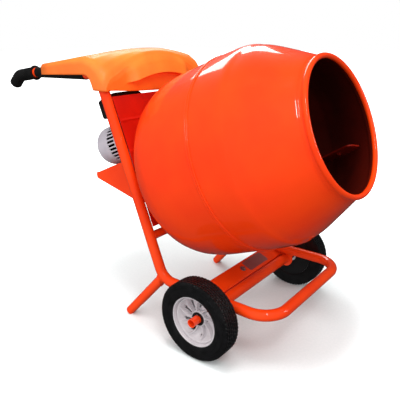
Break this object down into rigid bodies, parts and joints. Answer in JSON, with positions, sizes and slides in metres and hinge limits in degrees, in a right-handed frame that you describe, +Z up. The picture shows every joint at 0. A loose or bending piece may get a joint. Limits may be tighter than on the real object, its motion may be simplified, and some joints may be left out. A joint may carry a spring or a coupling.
{
  "type": "concrete mixer",
  "caption": "Portable electric tip-over concrete mixer: bent tube frame, geared tilted drum, wheels, handles and a moulded hood.",
  "frame": {"origin": "on the ground, under the middle of the box round the whole mixer", "axes": "+X towards the drum's mouth, +Y to the mixer's left side, +Z up"},
  "size_m": [1.2958, 0.664, 0.8955],
  "materials": {
    "orange_paint": "glossy orange-red stove enamel on rolled and welded steel",
    "red_paint": "satin red enamel on pressed sheet",
    "hood_plastic": "moulded orange plastic with a fine grain",
    "tyre_rubber": "solid black rubber tread",
    "grip_rubber": "soft black grip rubber",
    "rim_plastic": "light grey moulded plastic",
    "black_plastic": "black moulded plastic",
    "cowl_plastic": "light grey moulded plastic",
    "bare_steel": "plated and turned steel",
    "cast_aluminium": "die-cast aluminium",
    "gear_iron": "greased cast iron",
    "winding": "varnished winding pack",
    "green_plastic": "green moulded push button",
    "red_plastic": "red moulded push button",
    "label_foil": "blank data plate foil"
  },
  "bodies": {
    "frame": {"left_side_tube": "orange_paint", "right_side_tube": "orange_paint", "left_foot": "orange_paint", "right_foot": "orange_paint", "front_hoop": "orange_paint", "upper_cross_tube": "orange_paint", "lower_cross_tube": "orange_paint", "cross_plate": "orange_paint", "axle_sleeve": "orange_paint", "left_wheel_bracket": "orange_paint", "right_wheel_bracket": "orange_paint", "axle": "orange_paint", "drive_panel": "red_paint", "motor_guard": "red_paint", "hood": "hood_plastic", "left_grip": "grip_rubber", "right_grip": "grip_rubber", "terminal_box": "black_plastic", "switch_box": "black_plastic", "power_inlet": "black_plastic", "fan_cowl": "cowl_plastic", "plate_bolt": "bare_steel", "left_axle_washer": "bare_steel", "right_axle_washer": "bare_steel", "left_axle_pin": "bare_steel", "right_axle_pin": "bare_steel", "drum_bearing_rear": "bare_steel", "drum_bearing_front": "bare_steel", "layshaft_bearing_rear": "bare_steel", "layshaft_bearing_front": "bare_steel", "motor_bearing_front": "bare_steel", "motor_bearing_rear": "bare_steel", "gearcase": "cast_aluminium", "gearcase_lid": "cast_aluminium", "motor_body": "cast_aluminium", "stator": "winding", "data_plate": "label_foil"},
    "drum": {"drum_bowl": "orange_paint", "drum_cone": "orange_paint", "mouth_bead": "orange_paint", "paddle_a": "red_paint", "paddle_b": "red_paint", "drum_shaft": "bare_steel", "hub_plate": "bare_steel", "drum_gear": "gear_iron"},
    "layshaft": {"layshaft": "bare_steel", "layshaft_gear": "gear_iron"},
    "motor_rotor": {"motor_shaft": "bare_steel", "rotor": "bare_steel", "cooling_fan": "black_plastic"},
    "left_wheel": {"left_tyre": "tyre_rubber", "left_rim": "rim_plastic", "left_wheel_bush": "black_plastic"},
    "right_wheel": {"right_tyre": "tyre_rubber", "right_rim": "rim_plastic", "right_wheel_bush": "black_plastic"},
    "start_button": {"start_button": "green_plastic"},
    "stop_button": {"stop_button": "red_plastic"}
  },
  "joints": [
    {"name": "drum_spin", "type": "hinge", "parent": "frame", "child": "drum", "pos_m": [-0.01736, 0, 0.454], "axis": [0.9311, 0, 0.3649], "continuous": true},
    {"name": "layshaft_spin", "type": "hinge", "parent": "frame", "child": "layshaft", "pos_m": [-0.04746, -0.0892, 0.53081], "axis": [0.9311, 0, 0.3649], "continuous": true},
    {"name": "motor_spin", "type": "hinge", "parent": "frame", "child": "motor_rotor", "pos_m": [-0.07756, -0.105, 0.60762], "axis": [0.9311, 0, 0.3649], "continuous": true},
    {"name": "left_wheel_spin", "type": "hinge", "parent": "frame", "child": "left_wheel", "pos_m": [0.29507, 0.297, 0.125], "axis": [0, 1, 0], "continuous": true},
    {"name": "right_wheel_spin", "type": "hinge", "parent": "frame", "child": "right_wheel", "pos_m": [0.29507, -0.297, 0.125], "axis": [0, 1, 0], "continuous": true},
    {"name": "start_button_press", "type": "slide", "parent": "frame", "child": "start_button", "axis": [0.9311, 0, 0.3649], "range_m": [0, 0.004], "stiffness_N_per_m": 500},
    {"name": "stop_button_press", "type": "slide", "parent": "frame", "child": "stop_button", "axis": [0.9311, 0, 0.3649], "range_m": [0, 0.004], "stiffness_N_per_m": 500}
  ],
  "couplings": [
    {"joint": "layshaft_spin", "follows": "drum_spin", "ratio": -8},
    {"joint": "motor_spin", "follows": "drum_spin", "ratio": 56}
  ]
}
